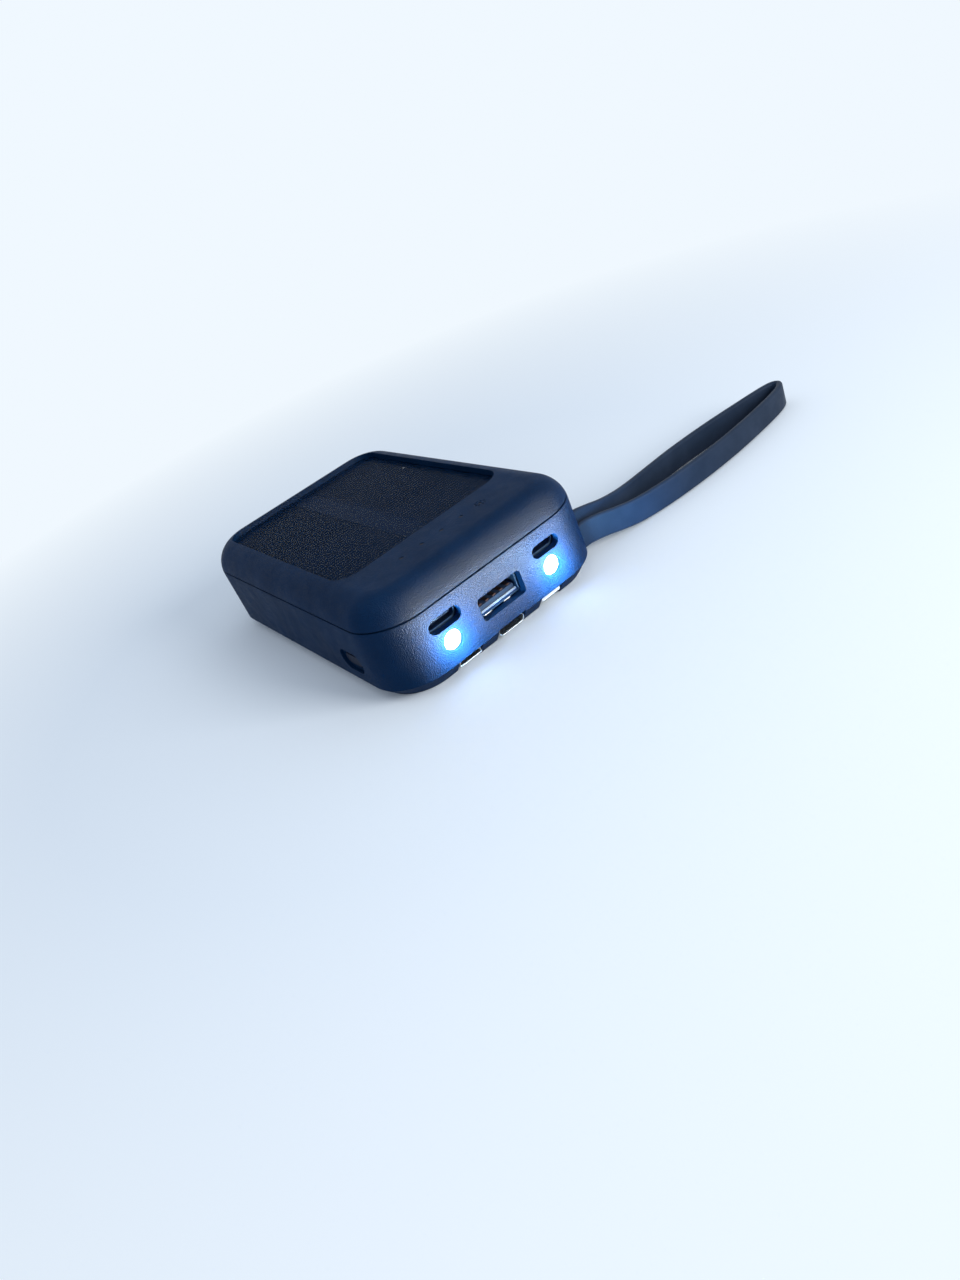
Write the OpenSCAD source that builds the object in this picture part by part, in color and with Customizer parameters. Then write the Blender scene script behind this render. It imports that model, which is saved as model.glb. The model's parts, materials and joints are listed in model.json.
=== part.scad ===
// Pocket solar power bank: two-part moulded housing with a recessed solar
// panel on top, sockets and torch lamps on the -Y end, three built-in charging
// cables stowed in the underside, a side button and a strap loop.
// Millimetres.  Origin at the centre of the underside, +Z up through the
// panel, -Y towards the socket end, +X towards the strap.

/* [Housing] */
// Width across the housing, along X
body_w = 67.5; // [64:0.5:82]
// Length of the housing, along Y
body_l = 105; // [100:0.5:130]
// Height of the housing, along Z
body_h = 27; // [26:0.5:34]
// Plan radius of the four upright corners
corner_r = 13.5; // [11:0.5:16]
// Radius of the long top edge
top_r = 8; // [5:0.5:8.5]
// Height of the bevel round the underside
bevel_h = 3.4; // [2:0.1:4]
// Width of the bevel round the underside
bevel_w = 3; // [2:0.1:4]
// Thickness of the moulded walls
wall = 2.2; // [1.8:0.1:2.6]
// Height of the parting line above the underside
seam_z = 20.3; // [19:0.1:21]
// Height of the shadow line between the shells
seam_gap = 0.4; // [0.2:0.1:0.6]
// Depth of the shadow line
seam_depth = 0.8; // [0.4:0.1:1]
// Inner floor height, above the cable channels
floor_z = 6; // [5.8:0.1:7]
// Gap between loosely fitting moulded parts
fit = 0.15; // [0.1:0.05:0.25]

/* [Solar panel] */
// Width of the panel window
panel_w = 53.4; // [40:0.2:56]
// Length of the panel window
panel_l = 75; // [60:0.5:80]
// Distance from the socket end to the panel window
panel_from_port = 23; // [20:0.5:26]
// Corner radius of the window
panel_r = 6; // [3:0.5:10]
// Depth of the cover surface below the top of the housing
panel_depth = 1.6; // [1:0.1:2]
// Thickness of the clear cover
cover_t = 0.45; // [0.3:0.05:0.6]
// Thickness of the cells
cell_t = 0.25; // [0.2:0.05:0.3]
// Thickness of the panel's back board
backboard_t = 0.8; // [0.6:0.1:1]
// Thickness of the adhesive sheet
adhesive_t = 0.3; // [0.2:0.1:0.4]
// Thickness of the tray under the panel
tray_t = 1.2; // [0.8:0.1:1.4]
// Width of the unlined gap between the two cell groups
cell_gap = 7; // [3:0.5:10]
// Margin of the cells inside the panel outline
cell_margin = 1.4; // [1:0.2:3]

/* [Indicators] */
// Distance from the socket end to the indicator row
dots_from_port = 15.5; // [14:0.5:17]
// Spacing of the indicator row
dot_pitch = 6.35; // [5:0.05:7]
// Radius of each indicator hole
dot_r = 0.6; // [0.4:0.05:0.7]
// Radius of the ring of holes of the lamp indicator
burst_r = 1.3; // [1.1:0.1:1.8]
// Radius of each hole in that ring
burst_hole_r = 0.35; // [0.25:0.05:0.4]

/* [Sockets and torch] */
// Distance of the small sockets and the torch lamps from the centre
socket_x = 16.2; // [15:0.1:18]
// Underside height of the circuit board
board_z = 12.2; // [12:0.1:12.6]
// Thickness of the circuit board
board_t = 1.2; // [1:0.1:1.6]
// Depth of the circuit board along Y
board_l = 26; // [22:0.5:27]
// Width of the circuit board
board_w = 57; // [50:0.5:58]
// Width and height of the large socket's metal shell
usb_a_w = 13.1; // [12.8:0.1:13.4]
usb_a_h = 5.7; // [5.5:0.1:5.9]
// Length of the large socket
usb_a_l = 11.4; // [10:0.2:11.6]
// Height of the large socket's centre
usb_a_z = 11; // [10.5:0.1:11.2]
// Width, height and length of the type-C socket's shell
type_c_w = 8.95; // [8.8:0.05:9.2]
type_c_h = 3.25; // [3.1:0.05:3.4]
type_c_l = 7.3; // [6:0.1:8]
// Width, height and length of the micro socket's shell
micro_w = 8; // [7.2:0.1:8.2]
micro_h = 2.8; // [2.6:0.1:3]
micro_l = 5.6; // [5:0.1:6.5]
// Sheet thickness of the socket shells
sheet_t = 0.3; // [0.25:0.05:0.35]
// Gap between the end wall and the sockets behind it
socket_gap = 0.2; // [0.1:0.05:0.4]
// How far each opening reaches past its socket all round
opening_margin = 0.3; // [0.1:0.05:0.5]
// Radius of each torch lamp
torch_r = 2.5; // [2:0.1:2.6]
// Height of the torch lamps
torch_z = 9.3; // [9.1:0.1:9.4]
// Radius of the domed front of each lamp
torch_dome_r = 4; // [3.5:0.1:8]

/* [Button] */
// Distance from the socket end to the button's centre
button_from_port = 21.4; // [20:0.2:23]
// Height of the button's centre
button_z = 9.1; // [8.9:0.1:9.2]
// Length and height of the button
button_l = 8.4; // [6:0.2:10]
button_h = 3.8; // [3:0.1:4.2]
// Gap round the button
button_gap = 0.25; // [0.2:0.05:0.4]
// Depth of the dish round the button
button_dish = 0.9; // [0.5:0.1:1]
// Travel of the button
button_travel = 0.4; // [0.3:0.1:0.5]

/* [Battery] */
// Width of each cell
battery_w = 56; // [45:0.5:58]
// Length of each cell
battery_l = 64; // [50:0.5:66]
// Thickness of each cell
battery_t = 6.9; // [5:0.1:6.9]
// Thickness of the foam pads
foam_t = 0.5; // [0.3:0.1:0.6]

/* [Built-in cables] */
// Spacing of the three cables
cable_pitch = 13.6; // [13:0.1:14]
// Width of each flat cable
cable_w = 5.2; // [4.5:0.1:5.6]
// Thickness of each flat cable
cable_t = 2.8; // [2.4:0.1:3]
// Height of the stowed cables' centre line
cable_z = 2.2; // [2.1:0.05:2.4]
// Gap round the cables and plugs in their channels
cable_gap = 0.3; // [0.2:0.05:0.4]
// Centre-line radius of the bend at the far end
bend_r = 5.9; // [5:0.1:6.4]
// How far the upright stretch lies inside the far face
cable_inset = 0.5; // [0.3:0.1:0.8]
// Height at which the cables enter the housing
cable_top_z = 17.6; // [16:0.1:18]
// Width, thickness and length of each plug's grip
grip_w = 10.2; // [9.6:0.1:10.6]
grip_t = 4; // [3.6:0.1:4]
grip_l = 14; // [10:0.5:18]
// Length of the neck between grip and cable
neck_l = 4; // [3:0.5:6]
// How far the plug tips sit behind the end face
tip_inset = 1.2; // [0.6:0.1:2]
// How far the plugs reach from their grips
plug_l = 6.5; // [6:0.1:7]

/* [Strap] */
// Width of the flat strap
strap_w = 7; // [5:0.1:7]
// Thickness of the strap
strap_t = 1.8; // [1.4:0.1:2]

/* [Hidden] */
$fn = 64;
eps = 0.01;
far = 200;

port_y = -body_l / 2;
far_y = body_l / 2;
side_x = body_w / 2;
shell_low_z = seam_z - seam_gap / 2;
shell_high_z = seam_z + seam_gap / 2;
lip_t = 1;
inner_bevel = 1.5;
lip_h = 1.6;

// Panel stack, worked out from the top surface downwards
panel_y = port_y + panel_from_port + panel_l / 2;
cover_z = body_h - panel_depth - cover_t;
cell_z = cover_z - cell_t;
backboard_z = cell_z - backboard_t;
tray_top_z = backboard_z - adhesive_t;
tray_low_z = tray_top_z - tray_t;
lead_hole_r = 2;
lead_r = 0.6;
lead_x = 8;
lead_y = port_y + panel_from_port + 5;

dots_y = port_y + dots_from_port;
dot_x = [for (i = [0:4]) (2 - i) * dot_pitch];
burst_count = 8;
guide_t = 1.2;
guide_d = 4;

board_inset = wall + 0.4;
board_y = port_y + board_inset;
board_top = board_z + board_t;
mouth_y = port_y + wall + socket_gap;
type_c_z = board_top + type_c_h / 2;
micro_z = board_top + micro_h / 2;
screw_r = 0.8;
screw_head_r = 1.7;
screw_head_t = 1.1;
boss_r = 2.2;
tongue_w = 11.1;
tongue_t = 1.1;
tongue_top = usb_a_z - 0.5;
contact_pitch = 2.3;
screw_at = [[-24.5, 8], [24.5, 21.5]];

button_y = port_y + button_from_port;
button_face_x = -side_x + button_dish;
button_flange = 1;
button_flange_t = 0.9;
button_crown = 0.35;

battery_y = board_y + board_l + 1.6 + battery_l / 2;
battery_low_z = floor_z + foam_t;
battery_high_z = battery_low_z + battery_t + foam_t;

cable_x = [-cable_pitch, 0, cable_pitch];
stow_y = far_y - cable_inset - cable_t / 2 - bend_r;
stow_top = cable_z + bend_r;
pivot_gap = 0.1;
micro_plug = [6.85, 1.8];
type_c_plug = [8.3, 2.4];
blade_plug = [6.7, 1.5];
plugs = [micro_plug, type_c_plug, blade_plug];
pocket_z = cable_z + grip_t / 2 + cable_gap;
channel_z = cable_z + cable_t / 2 + cable_gap;
channel_inner_r = bend_r - cable_t / 2 - cable_gap;
tip_y = port_y + tip_inset;
grip_y = tip_y + plug_l;
neck_y = grip_y + grip_l;
lead_start_y = neck_y + neck_l;
groove_wall = 1.4;
groove_band = cable_pitch + cable_w / 2 + cable_gap + groove_wall;

// The strap slot, in the upright corner beside the micro socket
slot_x = 28.4;
slot_y = [-46.8, -41.8];
slot_z = [2.4, 13.4];
anchor_t = 1.8;
// Centre line of the strap, from the slot round the loop and back
strap_route = [
    [30.2, -45.5, 6.7], [34, -45.5, 6.7], [39, -45.9, 5.9], [44, -46.6, 4.8],
    [50, -47.5, 3.8], [58, -48.7, 3.5], [67, -49.6, 3.5], [77, -49.9, 3.5],
    [87, -49.6, 3.5], [97, -48.7, 3.5], [106, -47.5, 3.5], [112, -46.3, 3.5],
    [115.3, -45, 3.5], [116.9, -43.4, 3.5], [116.4, -41.8, 3.5],
    [114.3, -40.8, 3.5], [110, -40, 3.5], [102, -39, 3.5], [93, -38, 3.5],
    [84, -37.4, 3.5], [75, -37.2, 3.5], [66, -37.9, 3.7], [58, -39.1, 4.2],
    [51, -40.4, 5.1], [44.5, -41.6, 6.5], [39, -42.5, 8.2], [34, -43.1, 9.5],
    [30.2, -43.1, 9.5]];

// ---- Plain shapes -------------------------------------------------------

// Box from its lowest corner to its highest
module block(low, high) {
    translate(low) cube(high - low);
}

// Rectangle with round corners, centred
module round_rect(w, l, r) {
    square([w - 2 * r, l], center = true);
    square([w, l - 2 * r], center = true);
    for (x = [-1, 1], y = [-1, 1])
        translate([x * (w / 2 - r), y * (l / 2 - r)]) circle(r);
}

// Flat plate with round corners, from z upwards
module plate(w, l, r, z, t) {
    translate([0, 0, z]) linear_extrude(t) round_rect(w, l, r);
}

// Runs an XZ outline along Y from y0 to y1
module along_y(y0, y1) {
    translate([0, y1, 0]) rotate([90, 0, 0]) linear_extrude(y1 - y0)
        children();
}

// Runs a YZ outline along X, centred on x
module across_x(x, w) {
    translate([x - w / 2, 0, 0]) rotate([90, 0, 90]) linear_extrude(w)
        children();
}

// Cross-section of the housing, w wide, standing on height 0
module section(w, h, r_top, low) {
    half = w / 2;
    polygon([[-half + low[0], 0], [half - low[0], 0], [half, low[1]],
             [half, h - r_top], [-half, h - r_top], [-half, low[1]]]);
    translate([-half + r_top, h - r_top - eps])
        square([w - 2 * r_top, r_top + eps]);
    for (s = [-1, 1])
        translate([s * (half - r_top), h - r_top]) circle(r_top);
}

// Housing-shaped solid: upright corners rc, top edge rounded, underside
// bevelled by low = [width, height]
module pillow(w, l, h, rc, r_top, low) {
    along_y(-l / 2 + rc, l / 2 - rc) section(w, h, r_top, low);
    across_x(0, w - 2 * rc) section(l, h, r_top, low);
    for (x = [-1, 1], y = [-1, 1])
        translate([x * (w / 2 - rc), y * (l / 2 - rc), 0])
            rotate([0, 0, corner_turn(x, y)]) rotate_extrude(angle = 90)
                intersection() {
                    section(2 * rc, h, r_top, low);
                    square([rc, h]);
                }
}

// Turn that points a quarter revolve to the corner with these signs
function corner_turn(x, y) =
    x > 0 ? (y > 0 ? 0 : 270) : (y > 0 ? 90 : 180);

module outer_form() {
    pillow(body_w, body_l, body_h, corner_r, top_r, [bevel_w, bevel_h]);
}

// The housing's outside, set in by t and standing on height z
module inner_form(t, z) {
    translate([0, 0, z])
        pillow(body_w - 2 * t, body_l - 2 * t, body_h - t - z,
               corner_r - t, top_r - t, [inner_bevel, inner_bevel]);
}

// ---- Housing ------------------------------------------------------------

// Channel of one stowed cable: up the far face, round the bend and along
// the underside
module cable_channel(x, plug) {
    across_x(x, cable_w + 2 * cable_gap)
        difference() {
            translate([lead_start_y, -1])
                square([far, cable_top_z + cable_t / 2 + 1]);
            translate([stow_y, stow_top]) circle(channel_inner_r);
            translate([port_y - 1, channel_z])
                square([stow_y - port_y + 1, far]);
            translate([port_y - 1, stow_top])
                square([stow_y + channel_inner_r - port_y + 1, far]);
        }
    plug_pocket(x, plug);
}

// Pocket of one stowed plug of size [width, height], open at the socket end
// and below
module plug_pocket(x, plug) {
    half_plug = plug[0] / 2 + cable_gap;
    block([x - half_plug, port_y - 1, -1],
          [x + half_plug, grip_y, cable_z + plug[1] / 2 + cable_gap]);
    half = grip_w / 2 + cable_gap;
    block([x - half, grip_y - cable_gap, -1],
          [x + half, neck_y + cable_gap, pocket_z]);
    half_neck = cable_w / 2 + 1.2;
    block([x - half_neck, neck_y, -1],
          [x + half_neck, lead_start_y + cable_gap, channel_z]);
}

module socket_openings(grow, y0, y1) {
    along_y(y0, y1) {
        translate([0, usb_a_z])
            round_rect(usb_a_w + 2 * grow, usb_a_h + 2 * grow, 1);
        translate([-socket_x, type_c_z])
            stadium(type_c_w, type_c_h, grow);
        translate([socket_x, micro_z])
            stadium(micro_w, micro_h, grow);
        for (s = [-1, 1]) translate([s * socket_x, torch_z])
            circle(torch_r + fit);
    }
}

// Round-ended outline, l long and h high, grown all round
module stadium(l, h, grow) {
    round_rect(l + 2 * grow, h + 2 * grow, h / 2 + grow - eps);
}

module button_opening() {
    across_x(-side_x, 2 * wall + 4)
        translate([button_y, button_z])
            stadium(button_l, button_h, button_gap);
    across_x(-side_x - 2 + button_dish / 2, 4 + button_dish)
        translate([button_y, button_z])
            stadium(button_l, button_h, 1.1);
}

// Guide sleeve round the button inside the wall
module button_sleeve() {
    across_x(button_face_x + wall - button_dish + 0.6, 2.4)
        translate([button_y, button_z])
            stadium(button_l, button_h, button_gap + 0.9);
}

module strap_slot() {
    block([slot_x, slot_y[0], slot_z[0]], [side_x + 1, slot_y[1], slot_z[1]]);
}

// Walls of the pocket that holds the strap's anchor
module slot_walls() {
    block([slot_x - 1.2, port_y + 1, floor_z - 1],
          [side_x - 1, slot_y[1] + 1.2, slot_z[1] + 1.2]);
}

module lower_cavity() {
    groove_y = stow_y + channel_inner_r - groove_wall;
    pocket_band = cable_pitch + grip_w / 2 + cable_gap + groove_wall;
    difference() {
        union() {
            inner_form(wall, floor_z);
            for (s = [-1, 1])
                intersection() {
                    inner_form(wall, wall);
                    block([s > 0 ? pocket_band : -far, -far, 0],
                          [s > 0 ? far : -pocket_band, far, floor_z + 1]);
                }
        }
        block([-groove_band, groove_y, 0],
              [groove_band, far, cable_top_z + cable_t / 2 + groove_wall]);
        intersection() {
            outer_form();
            slot_walls();
        }
        intersection() {
            outer_form();
            button_sleeve();
        }
        for (p = screw_at)
            translate([p[0], board_y + p[1], 0]) cylinder(r = boss_r, h = board_z);
    }
}

module lower_shell() {
    color("#1a2238") difference() {
        intersection() {
            outer_form();
            block([-far, -far, -1], [far, far, shell_high_z]);
        }
        lower_cavity();
        // Shadow line round the outside of the rim
        difference() {
            block([-far, -far, shell_low_z], [far, far, shell_high_z + 1]);
            inner_form(seam_depth, 0);
        }
        socket_openings(opening_margin, port_y - 1, port_y + wall + 1);
        button_opening();
        strap_slot();
        for (i = [0:2]) cable_channel(cable_x[i], plugs[i]);
        for (p = screw_at)
            translate([p[0], board_y + p[1], floor_z])
                cylinder(r = screw_r, h = far);
        for (x = cable_x)
            along_y(stow_y, far_y)
                translate([x, cable_top_z]) circle(root_r() + fit);
    }
}

// Radius of the round tail that carries each cable through the wall
function root_r() = cable_t / 2 - 0.2;

// Slice of the housing's form between two heights, set in by t
module rim_band(t, low, high) {
    intersection() {
        inner_form(t, 0);
        block([-far, -far, low], [far, far, high]);
    }
}

module upper_shell() {
    color("#1a2238") {
        difference() {
            intersection() {
                outer_form();
                block([-far, -far, shell_high_z], [far, far, far]);
            }
            difference() {
                inner_form(wall, floor_z);
                // Tray under the panel
                translate([0, panel_y, 0])
                    plate(panel_w + 2 * wall, panel_l + 2 * wall,
                          panel_r + wall, tray_low_z, far);
            }
            translate([0, panel_y, 0])
                plate(panel_w, panel_l, panel_r, tray_top_z, far);
            indicator_holes(0);
            translate([lead_x, lead_y, tray_low_z - 1])
                cylinder(r = lead_hole_r, h = tray_t + 2);
        }
        // Locating lip that drops inside the lower shell, and its root
        difference() {
            union() {
                rim_band(wall + fit, shell_high_z - lip_h, shell_high_z + lip_t);
                rim_band(wall / 2, shell_high_z, shell_high_z + lip_t);
            }
            inner_form(wall + fit + lip_t, -1);
            block([slot_x - 2, port_y, 0], [far, slot_y[1] + 2, shell_high_z]);
            block([-groove_band - fit, 0, 0],
                  [groove_band + fit, far, shell_high_z]);
        }
    }
}

// Holes of the indicator row, with the lamp indicator's ring at +X
module indicator_holes(tighten) {
    low = body_h - wall - 1;
    for (i = [1:4])
        translate([dot_x[i], dots_y, low])
            cylinder(r = dot_r - tighten, h = far);
    translate([dot_x[0], dots_y, low]) {
        cylinder(r = dot_r - tighten, h = far);
        for (k = [0:burst_count - 1])
            rotate([0, 0, k * 360 / burst_count])
                translate([burst_r, 0, 0])
                    cylinder(r = burst_hole_r - tighten, h = far);
    }
}

// ---- Solar panel --------------------------------------------------------

module panel_layer(margin, z, t) {
    translate([0, panel_y, 0])
        plate(panel_w - 2 * margin, panel_l - 2 * margin, panel_r - margin,
              z, t);
}

module panel_adhesive() {
    color("#d8d2c0") difference() {
        panel_layer(fit + 0.6, tray_top_z, adhesive_t);
        translate([lead_x, lead_y, 0]) cylinder(r = lead_hole_r, h = far);
    }
}

module panel_backboard() {
    color("#20304a") panel_layer(fit, backboard_z, backboard_t);
}

module solar_cells() {
    color("#10305c")
        for (s = [-1, 1])
            intersection() {
                panel_layer(cell_margin, cell_z, cell_t);
                block([s > 0 ? cell_gap / 2 : -far, -far, 0],
                      [s > 0 ? far : -cell_gap / 2, far, far]);
            }
}

module panel_cover() {
    color("#182848", 0.5) panel_layer(fit, cover_z, cover_t);
}

// Two leads from the panel's back down to the circuit board's edge
module solar_leads() {
    for (s = [-1, 1])
        color(s > 0 ? "firebrick" : "#202020")
            translate([lead_x + s, lead_y, board_top])
                cylinder(r = lead_r, h = backboard_z - board_top);
}

// ---- Indicators ---------------------------------------------------------

module indicator_light_guide() {
    top = body_h - wall;
    color("#e8eef2") {
        block([dot_x[4] - guide_d / 2, dots_y - guide_d / 2, top - guide_t],
              [dot_x[0] + guide_d / 2, dots_y + guide_d / 2, top]);
        intersection() {
            indicator_holes(0.08);
            block([-far, -far, top - eps], [far, far, body_h - 0.15]);
        }
    }
}

module indicator_shroud() {
    low = board_top + 1.2;
    color("#101010") difference() {
        block([dot_x[4] - 2.4, dots_y - 2.4, low],
              [dot_x[0] + 2.4, dots_y + 2.4, body_h - wall - guide_t]);
        for (x = dot_x)
            translate([x, dots_y, 0]) cylinder(r = 1.4, h = far);
    }
}

module indicator_leds() {
    color("#f4f4e8")
        for (x = dot_x)
            block([x - 0.8, dots_y - 0.4, board_top],
                  [x + 0.8, dots_y + 0.4, board_top + 0.6]);
}

// ---- Circuit board and sockets -----------------------------------------

module circuit_board() {
    notch = usb_a_w / 2;
    color("#14502c") difference() {
        intersection() {
            block([-board_w / 2, board_y, board_z],
                  [board_w / 2, board_y + board_l, board_top]);
            plate(body_w - 2 * board_inset, body_l - 2 * board_inset,
                  corner_r - board_inset, board_z - 1, board_t + 2);
        }
        block([-notch, board_y - 1, 0],
              [notch, mouth_y + usb_a_l, far]);
        // Corner cleared for the strap's pocket
        block([slot_x - 1.4, board_y - 1, 0],
              [far, slot_y[1] + 1.4, far]);
        for (p = screw_at)
            translate([p[0], board_y + p[1], 0])
                cylinder(r = screw_r + 0.2, h = far);
    }
}

module board_screws() {
    color("silver")
        for (p = screw_at)
            translate([p[0], board_y + p[1], 0]) {
                translate([0, 0, board_z - 4])
                    cylinder(r = screw_r, h = 4 + board_t);
                difference() {
                    translate([0, 0, board_top])
                        cylinder(r = screw_head_r, h = screw_head_t);
                    for (a = [0, 90])
                        rotate([0, 0, a])
                            translate([0, 0, board_top + screw_head_t])
                                cube([2 * screw_r, 0.4, 1], center = true);
                }
            }
}

module power_inductor() {
    color("#3a3a3a") translate([-15, board_y + board_l - 6.5, board_top])
        linear_extrude(4) round_rect(7, 7, 1);
}

module controller_chips() {
    color("#151515") {
        block([9, board_y + board_l - 7.5, board_top],
              [14, board_y + board_l - 2.5, board_top + 0.9]);
        block([-8.6, board_y + board_l - 6, board_top],
              [-4.6, board_y + board_l - 2, board_top + 0.9]);
        block([16.4, board_y + board_l - 7, board_top],
              [20.4, board_y + board_l - 3, board_top + 0.9]);
    }
}

// Folded sheet tube round a socket: outline given as children(0), inside as
// children(1)
module socket_tube(y0, l) {
    along_y(y0, y0 + l) difference() {
        children(0);
        children(1);
    }
}

module usb_a_shell() {
    color("silver") {
        translate([0, 0, usb_a_z]) {
            socket_tube(mouth_y, usb_a_l) {
                square([usb_a_w, usb_a_h], center = true);
                square([usb_a_w - 2 * sheet_t, usb_a_h - 2 * sheet_t],
                       center = true);
            }
            along_y(mouth_y + usb_a_l - sheet_t, mouth_y + usb_a_l)
                square([usb_a_w - eps, usb_a_h - eps], center = true);
        }
    }
}

// Tongue across the middle of the socket, carried by a block at its back
module usb_a_tongue() {
    back = mouth_y + usb_a_l - sheet_t;
    half = usb_a_w / 2 - sheet_t;
    color("#8d97a6") {
        block([-tongue_w / 2, mouth_y + 0.6, tongue_top - tongue_t],
              [tongue_w / 2, back - 2, tongue_top]);
        block([-half, back - 2, usb_a_z - usb_a_h / 2 + sheet_t],
              [half, back, usb_a_z + usb_a_h / 2 - sheet_t]);
    }
}

// Row of contacts on the tongue's upper face
module usb_a_contacts() {
    color("gold")
        for (i = [-2:2])
            block([i * contact_pitch - 0.5, mouth_y + 1.2, tongue_top],
                  [i * contact_pitch + 0.5, mouth_y + usb_a_l - sheet_t - 2,
                   tongue_top + 0.15]);
}

module type_c_socket_shell() {
    color("silver") translate([-socket_x, 0, type_c_z]) {
        socket_tube(mouth_y, type_c_l) {
            stadium(type_c_w, type_c_h, 0);
            stadium(type_c_w, type_c_h, -sheet_t);
        }
        along_y(mouth_y + type_c_l - sheet_t, mouth_y + type_c_l)
            stadium(type_c_w, type_c_h, -eps);
    }
}

module type_c_socket_tongue() {
    back = mouth_y + type_c_l - sheet_t;
    color("#202020") translate([-socket_x, 0, type_c_z]) {
        block([-3.35, mouth_y + 0.6, -0.35], [3.35, back, 0.35]);
    }
}

module micro_section(grow) {
    w = micro_w / 2 + grow;
    h = micro_h / 2 + grow;
    polygon([[-w, h], [-w, -h * 0.3], [-w + 0.9, -h], [w - 0.9, -h],
             [w, -h * 0.3], [w, h]]);
}

module micro_socket_shell() {
    color("silver") translate([socket_x, 0, micro_z]) {
        socket_tube(mouth_y, micro_l) {
            micro_section(0);
            micro_section(-sheet_t);
        }
        along_y(mouth_y + micro_l - sheet_t, mouth_y + micro_l)
            micro_section(-eps);
    }
}

module micro_socket_tongue() {
    color("#202020") translate([socket_x, 0, micro_z])
        block([-1.9, mouth_y + 0.6, 0.15],
              [1.9, mouth_y + micro_l - sheet_t, 0.75]);
}

// ---- Torch --------------------------------------------------------------

// Lamp body with a shallow domed lens and a flange behind it
module torch_lamp(x) {
    lens_y = port_y + 0.1;
    back_y = port_y + wall + 3;
    color("#f0f6ff") translate([x, 0, torch_z]) {
        intersection() {
            translate([0, lens_y + torch_dome_r, 0]) sphere(torch_dome_r);
            along_y(lens_y - 1, lens_y + 2) circle(torch_r);
        }
        along_y(lens_y + 1.5, back_y) circle(torch_r);
        along_y(back_y, back_y + 1) circle(torch_r + 0.35);
    }
}

module torch_lamp_left() { torch_lamp(-socket_x); }
module torch_lamp_right() { torch_lamp(socket_x); }

// Carriers that seat the lamps under the circuit board
module torch_lamp_bases() {
    color("#d8d8d0")
        for (s = [-1, 1])
            block([s * socket_x - 2, port_y + wall + 4, torch_z - 1.6],
                  [s * socket_x + 2, port_y + wall + 6, board_z]);
}

// ---- Button -------------------------------------------------------------

module power_button() {
    back_x = -side_x + wall + button_flange_t + button_travel / 2;
    color("#131a2e") {
        across_x((button_face_x + back_x) / 2, back_x - button_face_x)
            translate([button_y, button_z]) stadium(button_l, button_h, 0);
        // Crowned face
        across_x(button_face_x - button_crown / 2 + eps, button_crown)
            translate([button_y, button_z])
                stadium(button_l - 1, button_h - 1, 0);
        // Stem that meets the switch
        translate([back_x - eps, button_y, button_z]) rotate([0, 90, 0])
            cylinder(r = 1, h = switch_x() - back_x + eps);
    }
}

function switch_x() = -board_w / 2 + 1.5;

module button_switch() {
    color("#c8c8c8") {
        block([switch_x() + button_travel, button_y - 2.2, button_z - 1.5],
              [switch_x() + button_travel + 3, button_y + 2.2, board_z]);
    }
}

// ---- Battery ------------------------------------------------------------

module battery_cell(z) {
    color("#b8bcc4") translate([0, battery_y, 0])
        plate(battery_w, battery_l, 2, z, battery_t);
}

module battery_cell_lower() { battery_cell(battery_low_z); }
module battery_cell_upper() { battery_cell(battery_high_z); }

module battery_foam() {
    color("#30343c")
        for (z = [floor_z, battery_low_z + battery_t])
            translate([0, battery_y, 0])
                plate(battery_w - 6, battery_l - 6, 2, z, foam_t);
}

module battery_leads() {
    z = board_top + lead_r;
    y0 = board_y + board_l - 1.5;
    for (s = [-1, 1])
        color(s > 0 ? "firebrick" : "#202020")
            translate([s * 3, 0, z])
                along_y(y0, battery_y - battery_l / 2) circle(lead_r);
}

// ---- Strap --------------------------------------------------------------

function unit(v) = v / norm(v);
function route_dir(p, i) =
    let (n = len(p) - 1)
    unit(p[min(i + 1, n)] - p[max(i - 1, 0)]);
// Level direction across the strap at route point i
function route_side(p, i) =
    let (d = route_dir(p, i)) unit([d[1], -d[0], 0]);

// Strap outline with bevelled edges: across, then up
strap_bevel = 0.5;
strap_outline = [
    for (q = [[1, -1, 0], [1, -1, 1], [1, 1, 1], [1, 1, 0],
              [-1, 1, 0], [-1, 1, 1], [-1, -1, 1], [-1, -1, 0]])
        [q[0] * (strap_t / 2 - (1 - q[2]) * strap_bevel),
         q[1] * (strap_w / 2 - q[2] * strap_bevel)]];

// One closed solid swept along the route with the outline kept upright
module strap_sweep(route, outline) {
    n = len(outline);
    rings = len(route);
    points = [
        for (i = [0:rings - 1], q = outline)
            route[i] + q[0] * route_side(route, i) + [0, 0, q[1]]];
    sides = [
        for (i = [0:rings - 2], k = [0:n - 1])
            [i * n + k, i * n + (k + 1) % n,
             (i + 1) * n + (k + 1) % n, (i + 1) * n + k]];
    caps = [[for (k = [n - 1:-1:0]) k],
            [for (k = [0:n - 1]) (rings - 1) * n + k]];
    polyhedron(points, concat(sides, caps));
}

module lanyard_strap() {
    color("#1c2a48") strap_sweep(strap_route, strap_outline);
}

// Block at the back of the slot that both strap ends are moulded to
module lanyard_anchor() {
    color("#303848")
        block([strap_route[0][0] - anchor_t, slot_y[0] + fit, slot_z[0] + fit],
              [strap_route[0][0], slot_y[1] - fit, slot_z[1] - fit]);
}

// ---- Built-in cables ----------------------------------------------------

// Flat cable outline, across x and through the thickness
module cable_outline() {
    round_rect(cable_w, cable_t, cable_t / 2 - eps);
}

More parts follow.
